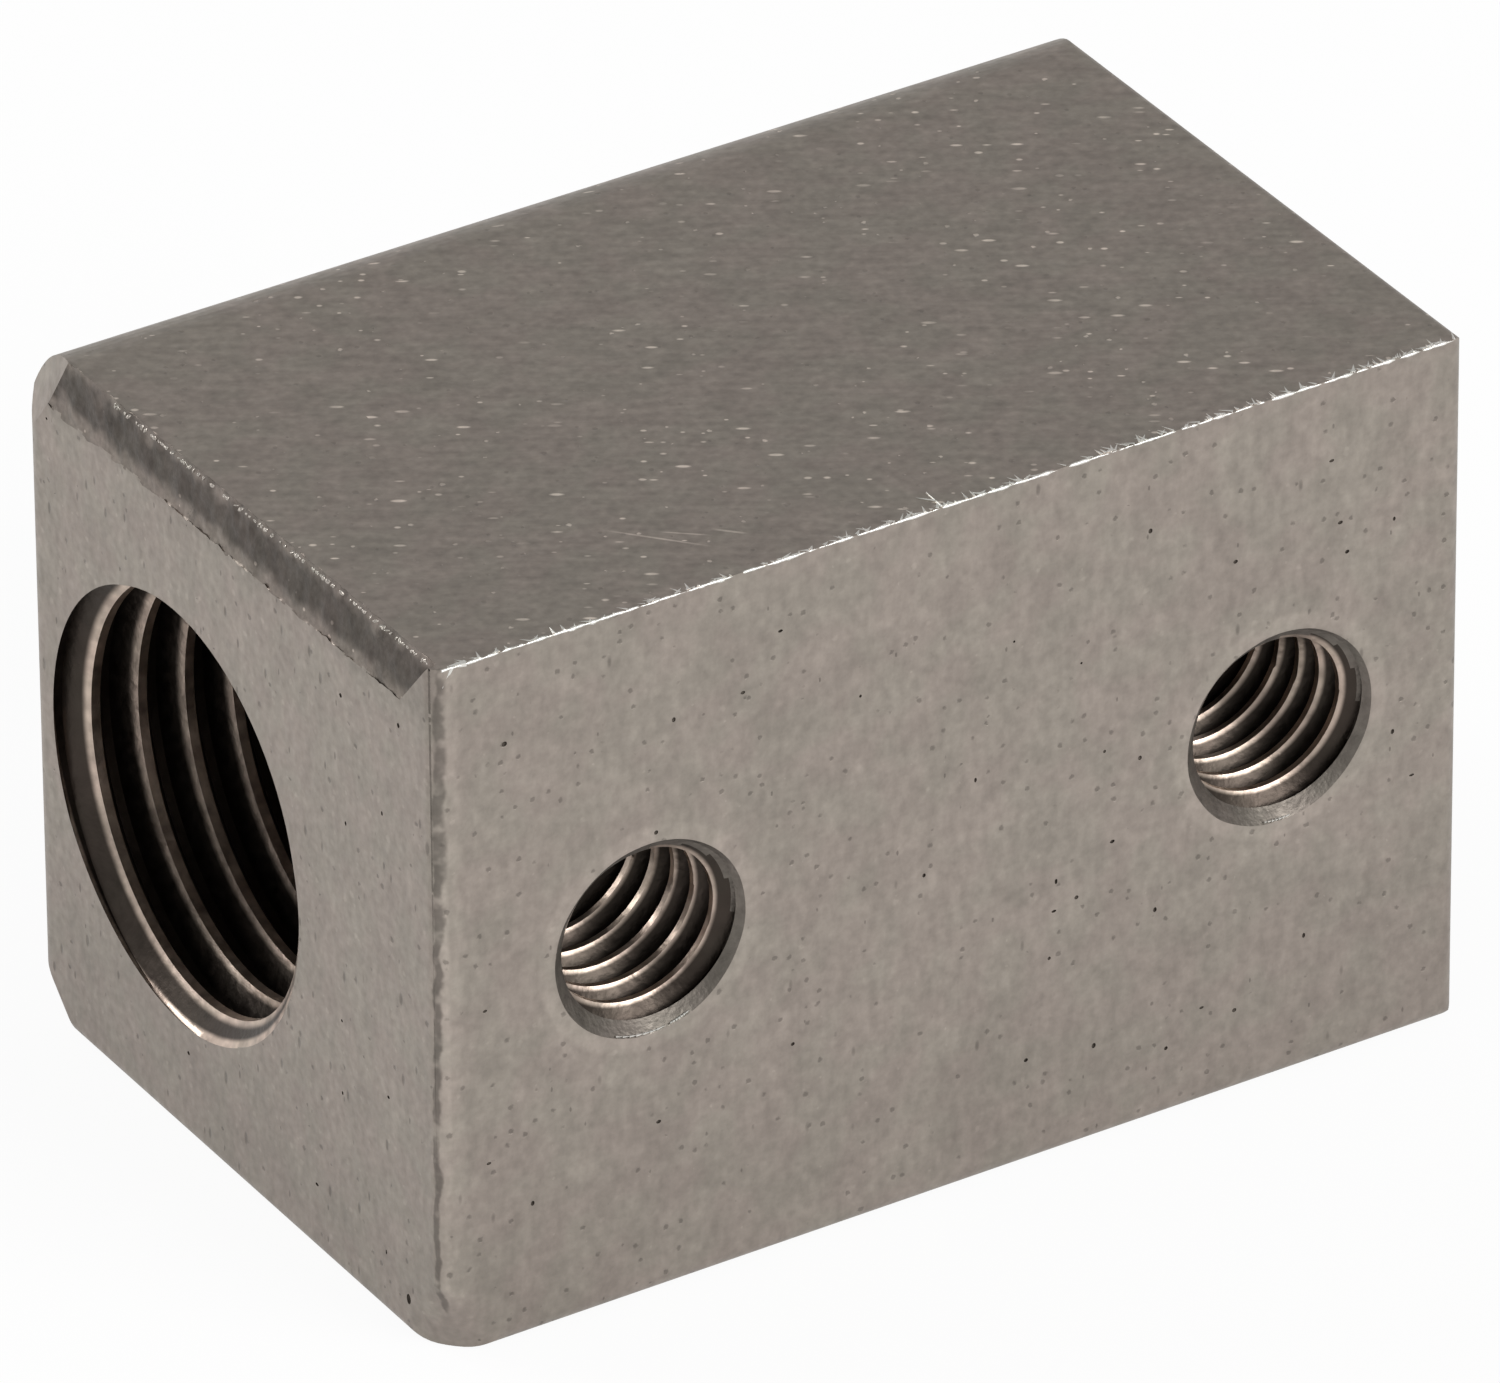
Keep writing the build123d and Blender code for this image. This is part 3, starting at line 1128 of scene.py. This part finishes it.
def make_floor():
    """A pale floor that goes nearly white to the camera and keeps the block's shadow."""
    mesh = bpy.data.meshes.new("floor")
    corners = [(-1, -1), (1, -1), (1, 1), (-1, 1)]
    verts = [(x * FLOOR_REACH, y * FLOOR_REACH, FLOOR_LEVEL) for x, y in corners]
    mesh.from_pydata(verts, [], [(0, 1, 2, 3)])
    floor = linked("floor", mesh)
    material, wiring, shader = new_material("floor_paper")
    shader.inputs["Base Color"].default_value = (0.85, 0.85, 0.85, 1)
    shader.inputs["Roughness"].default_value = 0.9
    ray = wiring.node("ShaderNodeLightPath").outputs
    seen = wiring.calc("MAXIMUM", ray["Is Glossy Ray"], ray["Is Transmission Ray"])
    share = wiring.calc("MULTIPLY", seen, WHITE_SEEN_IN_METAL)
    share = wiring.calc("MAXIMUM", share, wiring.calc("MULTIPLY", ray["Is Camera Ray"], WHITE_SEEN))
    white = wiring.node("ShaderNodeEmission", {"Color": (1, 1, 1, 1), "Strength": 1})
    mixed = wiring.node("ShaderNodeMixShader", {0: share, 1: shader.outputs[0], 2: white.outputs[0]})
    output = material.node_tree.nodes["Material Output"]
    wiring.feed(output.inputs["Surface"], mixed.outputs[0])
    mesh.materials.append(material)


def make_world():
    """Even light from all round, white where the camera looks past the floor."""
    world = bpy.data.worlds.new("studio")
    bpy.context.scene.world = world
    world.use_nodes = True
    wiring = Wiring(world.node_tree)
    background = world.node_tree.nodes["Background"]
    background.inputs["Color"].default_value = (1, 1, 1, 1)
    seen = wiring.node("ShaderNodeLightPath").outputs["Is Camera Ray"]
    strength = wiring.calc("MULTIPLY_ADD", seen, 1 - WORLD_STRENGTH, WORLD_STRENGTH)
    wiring.feed(background.inputs["Strength"], strength)


def make_light(name, towards, power):
    """A square soft box that faces the block from a direction."""
    data = bpy.data.lights.new(name, "AREA")
    data.shape = "SQUARE"
    data.size = BOX_SIZE
    data.energy = power
    centre = (LOW + HIGH) / 2
    direction = Vector(towards).normalized()
    turn = (-direction).to_track_quat("-Z", "Y").to_matrix().to_4x4()
    light = linked(name, data)
    light.matrix_world = Matrix.Translation(centre + direction * BOX_DISTANCE) @ turn


# ---------------------------------------------------------------- assembly

block = finished_block([milled_steel(), filed_steel(), tapped_steel(), sunk_steel(), pitted_steel()])
fresh = torn_steel("torn_steel", (0.8, 0.77, 0.73))
worn = torn_steel("worn_burr_steel", (0.46, 0.42, 0.38))
pieces = [block, *make_burrs(fresh, worn)]
for piece in pieces:
    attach(piece, "root")
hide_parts(BLOCK)

make_camera()
make_floor()
make_world()
make_light("right_front_box", *RIGHT_FRONT_BOX)
make_light("back_left_box", *BACK_LEFT_BOX)
bpy.context.scene.view_settings.view_transform = "Standard"
